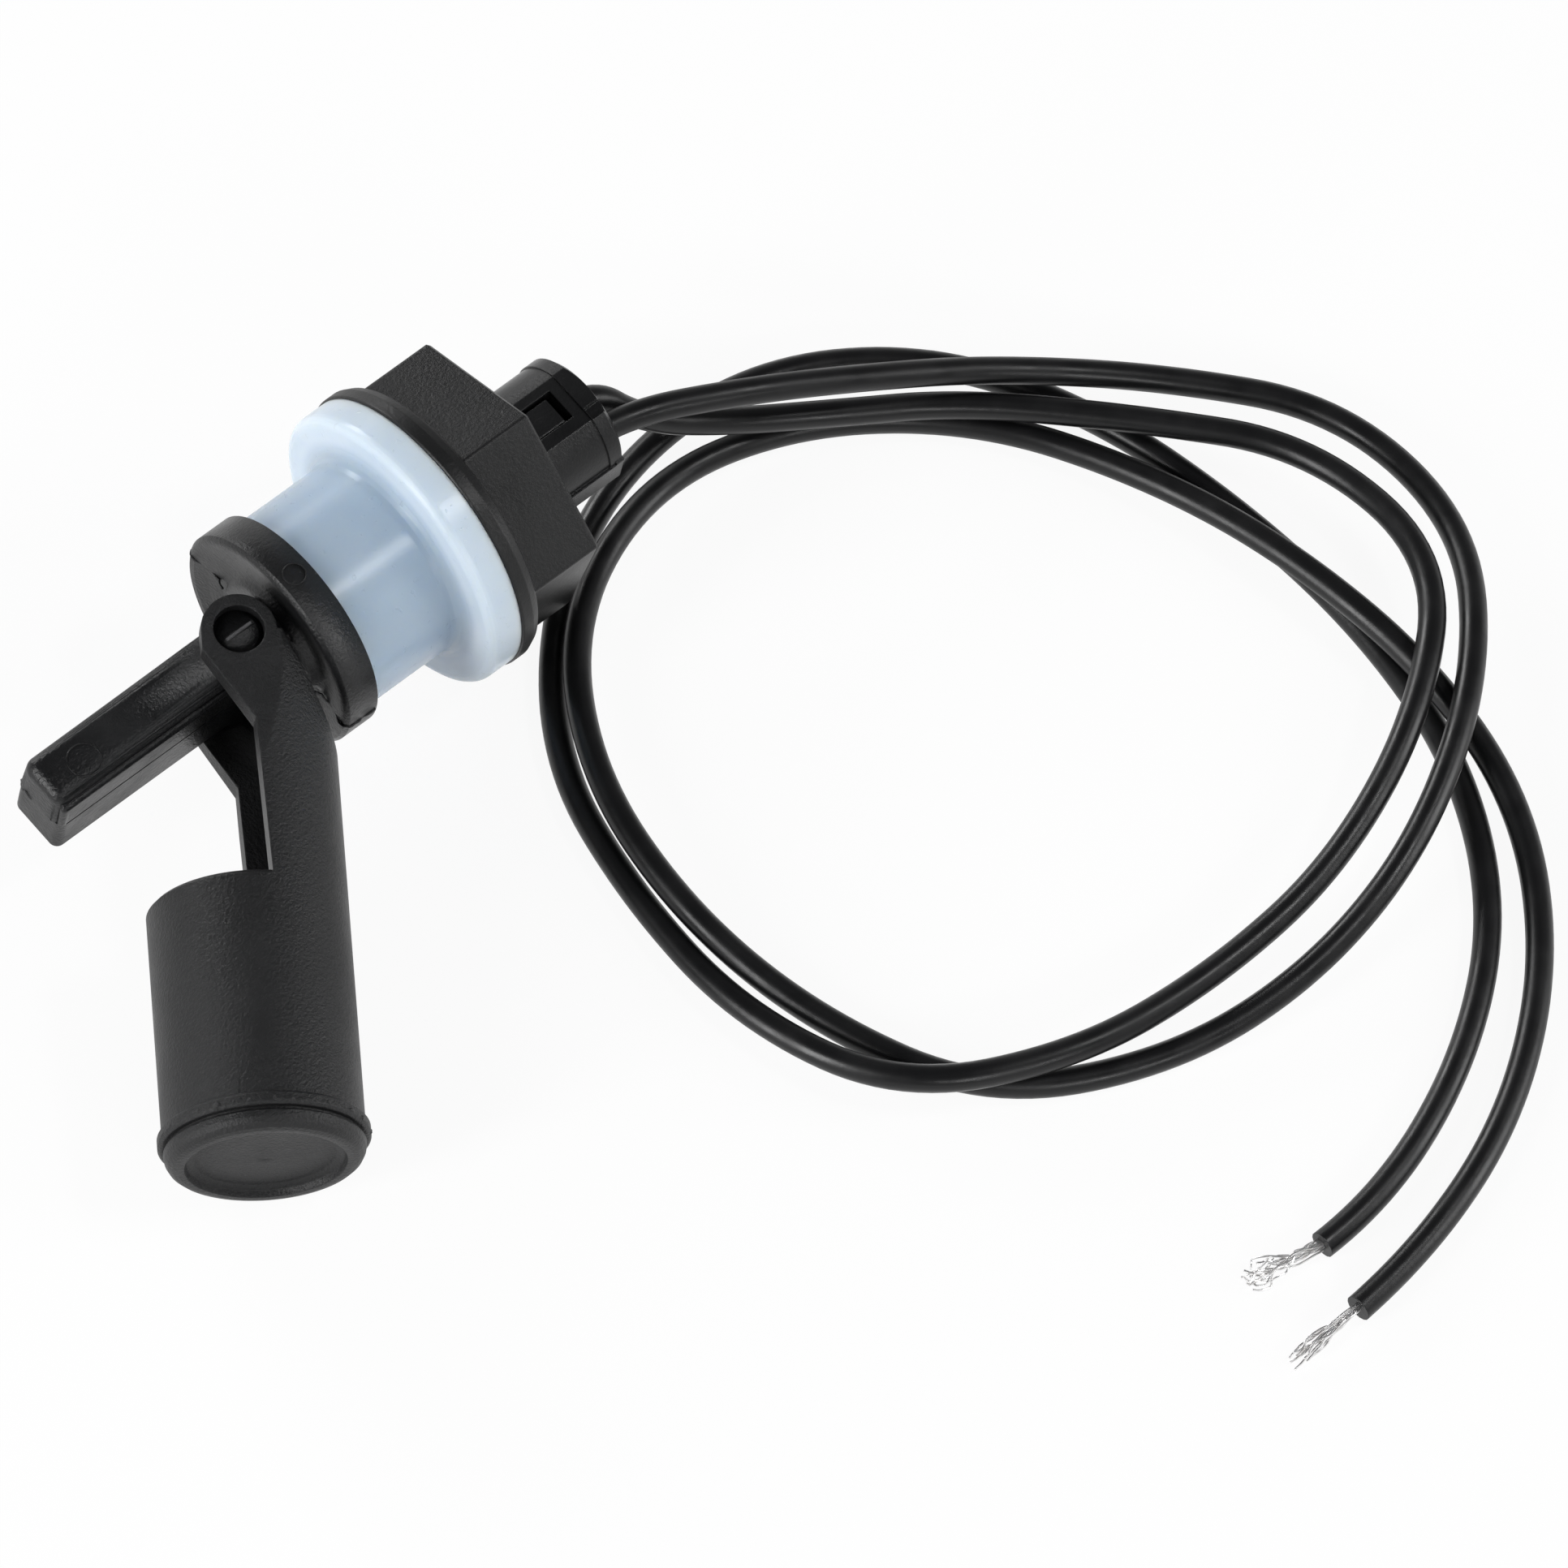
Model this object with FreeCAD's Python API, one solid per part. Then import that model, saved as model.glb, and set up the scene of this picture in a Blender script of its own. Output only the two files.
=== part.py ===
import FreeCAD, Part
import math
import os

os.makedirs("parts", exist_ok=True)

V = FreeCAD.Vector

# Frame: origin on the stem axis at the tank wall's face of the seal flange, +X towards the plug.
# Pieces tied to the float's swing are built square and then rolled about X, as the switch lies.

# clamp disc, seal and nut on the stem axis
wall_seat_x = 0.0
seal_flange_t = 3.5
seal_flange_inset = 0.2
seal_edge_round = 0.9
seal_root_round = 1.3
seal_tube_r = 10.38
seal_bore_gap = 0.1
disc_r = 11.4
disc_back_x = -11.2
disc_rim_t = 3.7
disc_recess = 0.65
disc_land_w = 0.95
disc_hub_r = 6.1
disc_hub_inset = 0.15
disc_round = 0.35
barrel_r = 8.0
barrel_end_x = 11.4
barrel_cavity_r = 6.4
nut_face_gap = 0.05
nut_bore_gap = 0.05
nut_flange_t = 2.3
nut_flange_r = 15.0
nut_flange_taper = 0.35
nut_corner_round = 0.45
nut_hex_flats = 25.1
nut_hex_turn = 35.4
nut_hex_end_x = 13.75
nut_rear_bore_r = 9.7
nut_rear_bore_x = 11.6
nut_edge_chamfer = 0.3

# stem and pivot
pivot_x = -19.5
stem_tip_x = -42.7
stem_half_w = 3.0
stem_half_h = 4.75
stem_ledge_z = 3.4
stem_bottom_z = -5.0
stem_bottom_round = 0.45
stem_block_y0 = -2.45
stem_block_y1 = 3.0
stem_round = 0.8
stem_tip_round = 0.9
parting_groove = 0.25
pin_r = 2.35
pin_nose_r = 1.95
pin_nose_inset = 0.8
pin_ridge_w = 0.45
pin_ridge_h = 0.25
pin_gap = 0.06
boss_r = 3.2
side_gap = 0.3
reed_pocket_r = 1.5
reed_r = 1.1
reed_lead_r = 0.35
reed_start_x = -34.0
reed_end_x = -20.0

# float
rest_angle = 53.6
float_r = 9.35
float_end_r = 9.08
trough_wall = 1.75
ear_r = 3.53
ear_outer_z = 8.5
ear_t = 1.8
ear_slant = 28.0
ear_flat_u = 3.5
ear_runout_u = 14.0
arm_edge_n = 1.4
chamber_u = 24.55
chamber_wall = 1.3
collar_u = 47.8
collar_r = 9.8
weld_gap = 0.3
collar_t = 1.3
float_end_u = 50.1
cap_skirt = 2.0
cap_wall = 1.2
cap_recess_r = 7.5
cap_recess = 0.9
magnet_r = 3.0
magnet_t = 3.0

# receptacle, plug and wires
socket_half_w = 4.5
socket_half_h = 3.7
socket_floor_x = 3.0
receptacle_front_x = -1.0
receptacle_gap = 0.05
contact_r = 0.5
contact_end_x = 8.5
contact_start_x = -4.0
nose_gap = 0.25
nose_start_x = 4.0
plug_gap = 0.5
plug_r = 6.45
plug_flat_z = 5.8
plug_end_x = 23.7
plug_end_round = 0.5
collar_start_x = 21.8
plug_collar_step = 0.15
notch_x = 21.9
notch_y0 = -2.85
notch_y1 = -1.55
notch_depth = 0.35
rail_y = 6.6
rail_half_h = 1.9
rail_end_x = 23.3
rail_groove = 0.3
window_x0 = 15.6
window_x1 = 20.6
window_y = 0.2
window_half_w = 1.68
window_depth = 2.6
latch_gap = 0.35
latch_end_gap = 0.75
terminal_r = 1.3
terminal_start_x = 5.0
terminal_end_x = 19.8
wire_d = 2.7
wire_seal_r = 1.75
wire_seal_start_x = 20.0
conductor_r = 0.75
wire_end_length = 8.0
cut_reach = 60.0

# wire routes, one control point a line of travel, in mm
route_left = [
    (20.3, -1.9, -0.7), (26.5, -1.9, -0.7), (38.0, -7.2, -1.6), (49.0, -12.0, -4.5), (61.0, -17.0, -9.0),
    (74.0, -27.0, -11.5), (85.0, -40.5, -11.8), (84.5, -58.5, -10.3), (72.5, -72.5, -7.6),
    (57.0, -81.5, -9.3), (41.0, -84.5, -11.8), (25.0, -82.5, -13.2), (9.5, -74.0, -13.5),
    (2.5, -58.5, -12.8), (0.0, -42.5, -11.1), (3.0, -25.5, -10.5), (13.0, -11.3, -10.9),
    (29.0, -4.5, -11.9), (45.0, -8.0, -13.0), (58.5, -18.5, -13.5), (66.0, -33.5, -12.5),
    (69.5, -49.5, -10.3), (71.0, -67.5, -10.3), (68.5, -83.5, -12.5), (59.0, -97.0, -13.4),
    (45.0, -107.0, -13.5), (29.0, -112.0, -13.5), (20.5, -112.5, -13.5),
]
route_right = [
    (20.3, 1.9, -0.2), (26.3, 1.9, -0.2), (30.0, -2.0, -4.9), (37.5, -5.5, -8.6), (46.5, -10.5, -10.2), (57.0, -17.5, -10.3),
    (68.5, -29.5, -10.3), (79.0, -42.5, -10.0), (79.0, -60.5, -7.8), (65.5, -72.0, -7.3),
    (49.5, -78.0, -10.0), (33.5, -79.0, -11.0), (17.5, -77.5, -10.1), (2.5, -69.5, -10.6),
    (-2.5, -53.5, -12.7), (-1.5, -37.0, -13.5), (2.5, -21.0, -13.4), (14.5, -7.5, -13.5),
    (29.5, -0.5, -13.4), (46.0, -1.0, -13.3), (60.0, -10.5, -13.5), (67.5, -25.5, -13.5),
    (70.5, -42.0, -13.5), (71.0, -58.5, -13.5), (68.0, -75.0, -13.5), (59.5, -89.5, -13.4),
    (46.5, -99.5, -13.4), (30.5, -105.5, -13.5), (22.5, -105.5, -13.5),
]

# values that follow from the sizes above
seal_bore_r = barrel_r + seal_bore_gap
seal_flange_r = nut_flange_r - seal_flange_inset
nut_flange_rear_r = nut_flange_r - nut_flange_taper
nut_start_x = seal_flange_t + nut_face_gap
nut_hex_x = nut_start_x + nut_flange_t
nut_bore_r = barrel_r + nut_bore_gap
disc_front_x = disc_back_x - disc_rim_t
plug_start_x = barrel_end_x + plug_gap
wire_seal_end_x = plug_end_x + 0.1
ear_inner_z = ear_outer_z - ear_t
ear_hole_r = pin_r + pin_gap
trough_r = float_r - trough_wall
chamber_top_u = chamber_u
cap_seat_u = collar_u - cap_skirt / 2
roll_sine = (nut_flange_r - collar_r) / (collar_u * math.sin(math.radians(rest_angle)))
roll = math.degrees(math.asin(roll_sine))
cap_bore_r = float_r - chamber_wall


def box(x0, x1, y0, y1, z0, z1):
    return Part.makeBox(x1 - x0, y1 - y0, z1 - z0, V(x0, y0, z0))


def rod(x0, x1, r, y=0.0, z=0.0):
    return Part.makeCylinder(r, x1 - x0, V(x0, y, z), V(1, 0, 0))


def cone(x0, x1, r0, r1, y=0.0, z=0.0):
    return Part.makeCone(r0, r1, x1 - x0, V(x0, y, z), V(1, 0, 0))


def post(z0, z1, r, x=0.0, y=0.0):
    return Part.makeCylinder(r, z1 - z0, V(x, y, z0))


def turned(points):
    """Solid of revolution about X from (x, r) points."""
    corners = [V(x, r, 0) for x, r in points]
    face = Part.Face(Part.makePolygon(corners + corners[:1]))
    return face.revolve(V(0, 0, 0), V(1, 0, 0), 360)


def prism(points, z0, z1):
    """Upright prism from (x, y) points."""
    corners = [V(x, y, z0) for x, y in points]
    face = Part.Face(Part.makePolygon(corners + corners[:1]))
    return face.extrude(V(0, 0, z1 - z0))


def rounded_bar(x0, x1, y0, y1, z0, z1, r):
    """Bar along X with its four long edges rounded."""
    bar = box(x0, x1, y0, y1, z0, z1)
    long_edges = [e for e in bar.Edges if abs(e.tangentAt(e.FirstParameter).x) > 0.99]
    return bar.makeFillet(r, long_edges)


def rolled(shape):
    out = shape.copy()
    out.rotate(V(0, 0, 0), V(1, 0, 0), roll)
    return out


def hung(shape):
    """Float pieces, built along X from the pivot, turned to the rest angle and put on the pivot."""
    out = shape.copy()
    out.rotate(V(0, 0, 0), V(0, 0, 1), 180.0 + rest_angle)
    out.translate(V(pivot_x, 0, 0))
    return rolled(out)


def clean(shape):
    return shape.removeSplitter()


def bent(x, r, dx, dr, turn):
    """Points of a quarter round from (x, r) to (x + dx, r + dr); turn picks which side it bulges to."""
    pts = []
    for i in range(1, 5):
        a = math.radians(90.0 * i / 4)
        if turn > 0:
            pts.append((x + dx * math.sin(a), r + dr * (1 - math.cos(a))))
        else:
            pts.append((x + dx * (1 - math.cos(a)), r + dr * math.sin(a)))
    return pts


def disc_solid():
    """Clamp disc: rim with a narrow land, then a gentle dish down to the low hub."""
    front = disc_front_x
    hub_x = front + disc_hub_inset
    floor = front + disc_recess
    land_r = disc_r - disc_land_w
    return turned([
        (disc_back_x, 0), (disc_back_x, disc_r), (front + disc_round, disc_r),
        (front, disc_r - disc_round), (front, land_r), (front + disc_recess * 0.6, land_r - 1.6),
        (floor, disc_hub_r + 1.0), (floor - 0.1, disc_hub_r + 0.4), (hub_x, disc_hub_r), (hub_x, 0),
    ])


def rounded_block(x0, x1, y0, y1, z0, z1, r):
    """Bar along X with its long edges and its front end's edges rounded."""
    bar = box(x0, x1, y0, y1, z0, z1)
    edges = [e for e in bar.Edges if e.BoundBox.XMin < x1 - 0.01]
    return bar.makeFillet(r, edges)


def stem_upper():
    """Block with a step down on the float's side, open at the parting plane."""
    root_x = disc_front_x + 1.0
    block = rounded_block(stem_tip_x, root_x, stem_block_y0, stem_block_y1, -stem_half_h, stem_half_h,
                          stem_round)
    ledge = rounded_block(stem_tip_x + 0.3, root_x, -stem_half_w, stem_block_y1 - 0.3, -stem_half_h, stem_ledge_z,
                          stem_round * 0.6)
    groove = box(stem_tip_x + stem_tip_round, root_x - 1.2, -stem_half_w - 1, -stem_half_w + parting_groove,
                 -0.1, parting_groove)
    return block.fuse(ledge).cut(groove)


def stem_lower():
    """Lower block: upright corners well rounded, bottom edges only a little."""
    bar = box(stem_tip_x + 0.2, disc_front_x + 1.0, -stem_half_w, stem_block_y1 + 0.1, stem_bottom_z, stem_half_h)
    corners = [e for e in bar.Edges if e.BoundBox.XMax < stem_tip_x + 0.3 and e.BoundBox.ZLength > 1]
    bar = bar.makeFillet(stem_tip_round, corners)
    bottom = [e for e in bar.Edges if e.BoundBox.ZMax < stem_bottom_z + 0.01 and e.BoundBox.XMax < disc_front_x + 1.01
              and e.BoundBox.XMin < disc_front_x + 0.9]
    return bar.makeFillet(stem_bottom_round, bottom)


def pivot_pin(side):
    """Boss and pin that carry one ear; the pin's nose is thinner, with a small ridge."""
    nose_z = ear_outer_z - pin_nose_inset
    boss = post(stem_half_h - 1.5, ear_inner_z - side_gap, boss_r, pivot_x)
    pin = post(stem_half_h - 1.5, ear_inner_z + ear_t * 0.4, pin_r, pivot_x)
    nose = post(stem_half_h - 1.5, nose_z, pin_nose_r, pivot_x)
    ridge = box(pivot_x - pin_nose_r * 0.9, pivot_x + pin_nose_r * 0.9, -pin_ridge_w / 2, pin_ridge_w / 2,
                nose_z - 0.2, nose_z + pin_ridge_h)
    stub = boss.fuse([pin, nose, ridge])
    if side < 0:
        stub = stub.mirror(V(0, 0, 0), V(0, 0, 1))
    return stub


def housing_half(side):
    """One moulded half: stem, pivot pin, clamp disc and threaded barrel, split on the reed's plane."""
    barrel = rod(disc_back_x, barrel_end_x, barrel_r)
    body = disc_solid().fuse([barrel, stem_upper() if side > 0 else stem_lower()])
    hollow = rod(disc_back_x + 2.0, barrel_end_x, barrel_cavity_r)
    pocket = rod(stem_tip_x + 2.5, disc_back_x + 2.5, reed_pocket_r)
    body = body.cut(hollow.fuse(pocket))
    if side > 0:
        half = body.common(box(-cut_reach, cut_reach, -cut_reach, cut_reach, 0, cut_reach))
    else:
        half = body.common(box(-cut_reach, cut_reach, -cut_reach, cut_reach, -cut_reach, 0))
    return clean(half.fuse(pivot_pin(side)))


def expanding_seal():
    tube_end = wall_seat_x - seal_root_round
    body = turned(
        [(disc_back_x, seal_bore_r), (disc_back_x, seal_tube_r - 0.3), (disc_back_x + 0.3, seal_tube_r),
         (tube_end, seal_tube_r)]
        + bent(tube_end, seal_tube_r, seal_root_round, seal_root_round, 1)
        + [(wall_seat_x, seal_flange_r - seal_edge_round)]
        + bent(wall_seat_x, seal_flange_r - seal_edge_round, seal_edge_round, seal_edge_round, -1)
        + [(seal_flange_t, seal_flange_r), (seal_flange_t, seal_bore_r)])
    return body


def hexagon(x0, x1):
    """Hexagonal bar with its long edges rounded."""
    corner = nut_hex_flats / 2 / math.cos(math.radians(30))
    pts = []
    for i in range(6):
        a = math.radians(nut_hex_turn + 60 * i)
        pts.append(V(x0, corner * math.cos(a), corner * math.sin(a)))
    face = Part.Face(Part.makePolygon(pts + pts[:1]))
    bar = face.extrude(V(x1 - x0, 0, 0))
    long_edges = [e for e in bar.Edges if e.BoundBox.XLength > (x1 - x0) * 0.9]
    bar = bar.makeFillet(nut_corner_round, long_edges)
    rear_edges = [e for e in bar.Edges if e.BoundBox.XMin > x1 - 0.01]
    return bar.makeChamfer(nut_edge_chamfer, rear_edges)


def clamp_nut():
    flange = turned([
        (nut_start_x, 0), (nut_start_x, nut_flange_r - 0.15), (nut_start_x + 0.15, nut_flange_r),
        (nut_start_x + 1.3, nut_flange_r), (nut_hex_x - 0.2, nut_flange_rear_r), (nut_hex_x, nut_flange_rear_r - 0.2),
        (nut_hex_x, 0),
    ])
    body = flange.fuse(hexagon(nut_hex_x - 0.5, nut_hex_end_x))
    body = body.cut(rod(nut_start_x - 1, nut_hex_end_x + 1, nut_bore_r))
    body = body.cut(rod(nut_rear_bore_x, nut_hex_end_x + 1, nut_rear_bore_r))
    return rolled(clean(body))


def receptacle():
    """Insert in the barrel's rear with the plug's socket in it."""
    body = rod(receptacle_front_x, barrel_end_x, barrel_cavity_r - receptacle_gap)
    socket = rounded_bar(socket_floor_x, barrel_end_x + 1, -socket_half_w, socket_half_w,
                         -socket_half_h, socket_half_h, 0.8)
    body = rolled(body.cut(socket))
    for y, z in wire_seats():
        body = body.cut(rod(receptacle_front_x - 1, socket_floor_x + 1, contact_r, y, z))
    return body


def wire_seats():
    return [route_left[0][1:], route_right[0][1:]]


def contact_pin(seat):
    y, z = seat
    pin = rod(contact_start_x, contact_end_x - 0.6, contact_r, y, z)
    return pin.fuse(cone(contact_end_x - 0.6, contact_end_x, contact_r, contact_r * 0.5, y, z))


def plug_outer():
    """Plug's round body with its flat top, rear collar, side rail and nose."""
    main = turned([
        (plug_start_x, 0), (plug_start_x, plug_r), (plug_end_x - plug_end_round, plug_r),
        (plug_end_x, plug_r - plug_end_round), (plug_end_x, 0),
    ])
    main = main.cut(box(plug_start_x - 1, plug_end_x + 1, -plug_r, plug_r, plug_flat_z, plug_r + 1))
    collar = turned([
        (collar_start_x, 0), (collar_start_x, plug_r + plug_collar_step),
        (plug_end_x - plug_end_round, plug_r + plug_collar_step), (plug_end_x, plug_r - plug_end_round),
        (plug_end_x, 0),
    ])
    collar = collar.cut(box(plug_start_x - 1, plug_end_x + 1, -10, 10, plug_flat_z + plug_collar_step, 10))
    rail = rounded_bar(plug_start_x + 0.6, rail_end_x, -rail_y, -rail_y + 1.7, -rail_half_h, rail_half_h, 0.35)
    groove = box(plug_start_x, rail_end_x - 0.9, -rail_y - 1, rail_groove + 0.35 - plug_r,
                 rail_half_h - 0.35, rail_half_h + 1)
    nose = rounded_bar(nose_start_x, plug_start_x + 0.5, -socket_half_w + nose_gap, socket_half_w - nose_gap,
                       -socket_half_h + nose_gap, socket_half_h - nose_gap, 0.7)
    return main.fuse([collar, nose, rail.cut(groove)])


def plug_shell():
    window = box(window_x0, window_x1, window_y - window_half_w, window_y + window_half_w,
                 plug_flat_z - window_depth, plug_flat_z + 2)
    notch = box(notch_x, plug_end_x + 1, notch_y0, notch_y1,
                plug_flat_z + plug_collar_step - notch_depth, plug_flat_z + 2)
    body = rolled(plug_outer().cut(window.fuse(notch)))
    for y, z in wire_seats():
        body = body.cut(rod(nose_start_x - 1, wire_seal_start_x, terminal_r + 0.1, y, z))
        body = body.cut(rod(wire_seal_start_x, plug_end_x + 1, wire_seal_r, y, z))
    return clean(body)


def plug_lock():
    """Latch block that fills the window but for a gap at its rear and on one side."""
    floor_z = plug_flat_z - window_depth
    block = box(window_x0 + 0.05, window_x1 - latch_end_gap, window_y - window_half_w + 0.05,
                window_y + window_half_w - latch_gap, floor_z, plug_flat_z - 0.1)
    top_edges = [e for e in block.Edges if e.BoundBox.ZMin > plug_flat_z - 0.2]
    return rolled(block.makeFillet(0.2, top_edges))


def crimp_terminal(seat):
    y, z = seat
    body = rod(terminal_start_x, terminal_end_x, terminal_r, y, z)
    bore = rod(terminal_start_x - 1, contact_end_x + 0.5, contact_r + 0.05, y, z)
    return body.cut(bore)


def wire_seal(seat):
    y, z = seat
    body = rod(wire_seal_start_x, wire_seal_end_x, wire_seal_r, y, z)
    return body.cut(rod(wire_seal_start_x - 1, wire_seal_end_x + 1, wire_d / 2, y, z))


def wire_solid(route, name):
    """Round wire on straight runs joined by tangent arcs."""
    pts = [V(*p) for p in route]
    edges = []
    radii = []
    start = pts[0]
    length = 0.0
    for before, here, after in zip(pts, pts[1:], pts[2:]):
        back = before - here
        ahead = after - here
        cut = 0.45 * min(back.Length, ahead.Length)
        back.normalize()
        ahead.normalize()
        turn = math.pi - back.getAngle(ahead)
        radii.append(cut / math.tan(turn / 2))
        enter = here + back * cut
        leave = here + ahead * cut
        middle_way = (back + ahead).normalize()
        to_centre = radii[-1] / math.cos(turn / 2)
        middle = here + middle_way * (to_centre - radii[-1])
        edges.append(Part.LineSegment(start, enter).toShape())
        edges.append(Part.Arc(enter, middle, leave).toShape())
        start = leave
    edges.append(Part.LineSegment(start, pts[-1]).toShape())
    path = Part.Wire(edges)
    length = path.Length
    section = Part.Wire(Part.Circle(pts[0], pts[1] - pts[0], wire_d / 2).toShape())
    tube = path.makePipeShell([section], True, True)
    expected = math.pi * wire_d ** 2 / 4 * length
    print(name, "length %.1f mm" % length, "smallest radius %.1f mm" % min(radii),
          "volume against section times length %.4f" % (tube.Volume / expected), "valid", tube.isValid())
    return tube


def wire_end(route):
    tip = V(*route[-1])
    way = (tip - V(*route[-2])).normalize()
    return Part.makeCylinder(conductor_r, wire_end_length, tip, way)


def reed_capsule():
    return rolled(rod(reed_start_x, reed_end_x, reed_r))


def reed_lead(front):
    if front:
        return rolled(rod(stem_tip_x + 3.0, reed_start_x, reed_lead_r))
    return rolled(rod(reed_end_x, disc_back_x + 2.4, reed_lead_r))


def ear_profile():
    """Side outline of ear and arm, u along the float and n towards the clamp disc."""
    slope = math.tan(math.radians(ear_slant))
    rise = ear_r / math.cos(math.radians(ear_slant))
    top_u = (float_r - rise) / slope
    return [
        (0, -ear_r), (2.0, -ear_r), (9.2, arm_edge_n - 0.5), (chamber_u + 1, arm_edge_n),
        (chamber_u + 1, float_r + 1), (top_u + 0.5, float_r + 1), (0, rise),
    ]


def slant_keep(z):
    """Everything on the float's side of the slanted edge that faces the clamp disc."""
    slope = math.tan(math.radians(ear_slant))
    rise = ear_r / math.cos(math.radians(ear_slant))
    pts = [(-ear_r - 1, -cut_reach), (cut_reach, -cut_reach), (cut_reach, rise + slope * cut_reach),
           (-ear_r - 1, rise - slope * (ear_r + 1))]
    return prism(pts, -z, z)


def face_keep():
    """What lies between the ears' flat outer faces, which run out into the round arm."""
    slope = (float_r - ear_outer_z) / (ear_runout_u - ear_flat_u)
    far_z = ear_outer_z + slope * (cut_reach - ear_flat_u)
    pts = [V(-ear_r - 1, -cut_reach, -ear_outer_z), V(ear_flat_u, -cut_reach, -ear_outer_z),
           V(cut_reach, -cut_reach, -far_z), V(cut_reach, -cut_reach, far_z),
           V(ear_flat_u, -cut_reach, ear_outer_z), V(-ear_r - 1, -cut_reach, ear_outer_z)]
    return Part.Face(Part.makePolygon(pts + pts[:1])).extrude(V(0, 2 * cut_reach, 0))


def float_body():
    shell = rod(0.0, chamber_u + 0.5, float_r).cut(rod(-1.0, chamber_u, trough_r))
    shell = shell.common(box(-5, cut_reach, arm_edge_n, cut_reach, -cut_reach, cut_reach))
    ears = None
    for z0, z1 in ((ear_inner_z, float_r), (-float_r, -ear_inner_z)):
        plate = prism(ear_profile(), z0, z1).fuse(post(z0, z1, ear_r))
        ears = plate if ears is None else ears.fuse(plate)
    reach = rod(-5.0, chamber_u + 1, float_r)
    ears = ears.common(reach)
    arm = shell.fuse(ears).common(slant_keep(cut_reach)).common(face_keep())
    chamber = turned([
        (chamber_u, 0), (chamber_u, float_r - 0.4), (chamber_u + 0.4, float_r),
        (cap_seat_u, float_r), (cap_seat_u, cap_bore_r), (chamber_u + chamber_wall, cap_bore_r),
        (chamber_u + chamber_wall, 0),
    ])
    pot = rod(chamber_u + chamber_wall - 0.5, chamber_u + chamber_wall + magnet_t, magnet_r + 1.0)
    pot = pot.cut(rod(chamber_u + chamber_wall, chamber_u + 10, magnet_r + 0.05))
    body = arm.fuse([chamber, pot])
    body = body.cut(post(-cut_reach, cut_reach, ear_hole_r))
    return hung(clean(body))


def float_cap():
    """Welded cap: skirt in the chamber, weld collar, then a rounded lip round a shallow dish."""
    inner = cap_bore_r - cap_wall
    dish_u = float_end_u - cap_recess
    lip_u = cap_seat_u + collar_t + weld_gap
    lip_r = float_end_r + 0.25
    lip_round = float_end_u - lip_u - 0.1
    body = turned(
        [(dish_u - cap_wall, 0), (dish_u - cap_wall, inner), (cap_seat_u - 1.5, inner),
         (cap_seat_u - 1.5, cap_bore_r - 0.05), (cap_seat_u, cap_bore_r - 0.05), (cap_seat_u, collar_r - 0.25),
         (cap_seat_u + 0.25, collar_r), (cap_seat_u + collar_t - 0.25, collar_r),
         (cap_seat_u + collar_t, collar_r - 0.25), (cap_seat_u + collar_t, lip_r - weld_gap),
         (lip_u, lip_r - weld_gap), (lip_u, lip_r - 0.1), (lip_u + 0.1, lip_r)]
        + bent(lip_u + 0.1, lip_r, lip_round, -lip_round * 0.8, 1)
        + [(float_end_u, cap_recess_r), (dish_u + 0.3, cap_recess_r - 0.25), (dish_u, cap_recess_r - 1.0),
           (dish_u + 0.25, 0)])
    return hung(body)


def float_magnet():
    start = chamber_u + chamber_wall
    return hung(rod(start, start + magnet_t, magnet_r))


def write(name, shape):
    solids = shape.Solids
    solid = solids[0] if len(solids) == 1 else shape
    box_ = shape.BoundBox
    print("%-22s solids %d valid %s volume %.1f x %.1f..%.1f y %.1f..%.1f z %.2f..%.2f" % (
        name, len(solids), shape.isValid(), shape.Volume, box_.XMin, box_.XMax, box_.YMin, box_.YMax,
        box_.ZMin, box_.ZMax))
    solid.exportStep("parts/%s.step" % name)


left_seat, right_seat = wire_seats()
print("roll %.3f deg" % roll)
write("housing_half_upper", rolled(housing_half(1)))
write("housing_half_lower", rolled(housing_half(-1)))
write("reed_capsule", reed_capsule())
write("reed_lead_front", reed_lead(True))
write("reed_lead_rear", reed_lead(False))
write("contact_pin_left", contact_pin(left_seat))
write("contact_pin_right", contact_pin(right_seat))
write("receptacle", receptacle())
write("expanding_seal", expanding_seal())
write("clamp_nut", clamp_nut())
write("float_body", float_body())
write("float_cap", float_cap())
write("float_magnet", float_magnet())
write("plug_shell", plug_shell())
write("plug_lock", plug_lock())
write("crimp_terminal_left", crimp_terminal(left_seat))
write("crimp_terminal_right", crimp_terminal(right_seat))
write("wire_seal_left", wire_seal(left_seat))
write("wire_seal_right", wire_seal(right_seat))
write("wire_left", wire_solid(route_left, "wire_left"))
write("wire_right", wire_solid(route_right, "wire_right"))
write("wire_end_left", wire_end(route_left))
write("wire_end_right", wire_end(route_right))
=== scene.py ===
import bpy
import bmesh
import math
from mathutils import Vector, Matrix


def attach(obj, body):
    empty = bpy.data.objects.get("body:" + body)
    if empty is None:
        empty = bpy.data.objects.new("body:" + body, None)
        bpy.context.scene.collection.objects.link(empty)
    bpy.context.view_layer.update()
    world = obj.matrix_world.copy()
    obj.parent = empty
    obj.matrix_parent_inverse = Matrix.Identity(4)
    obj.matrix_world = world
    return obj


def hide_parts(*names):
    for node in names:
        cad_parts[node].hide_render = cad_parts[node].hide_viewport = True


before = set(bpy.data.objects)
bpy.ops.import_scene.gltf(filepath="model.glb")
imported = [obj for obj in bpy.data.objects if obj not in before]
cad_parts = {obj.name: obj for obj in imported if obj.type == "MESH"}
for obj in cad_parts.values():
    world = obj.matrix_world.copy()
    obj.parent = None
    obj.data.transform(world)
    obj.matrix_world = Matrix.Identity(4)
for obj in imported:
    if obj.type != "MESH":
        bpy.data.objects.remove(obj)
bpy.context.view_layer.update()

mm = 0.001
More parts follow.
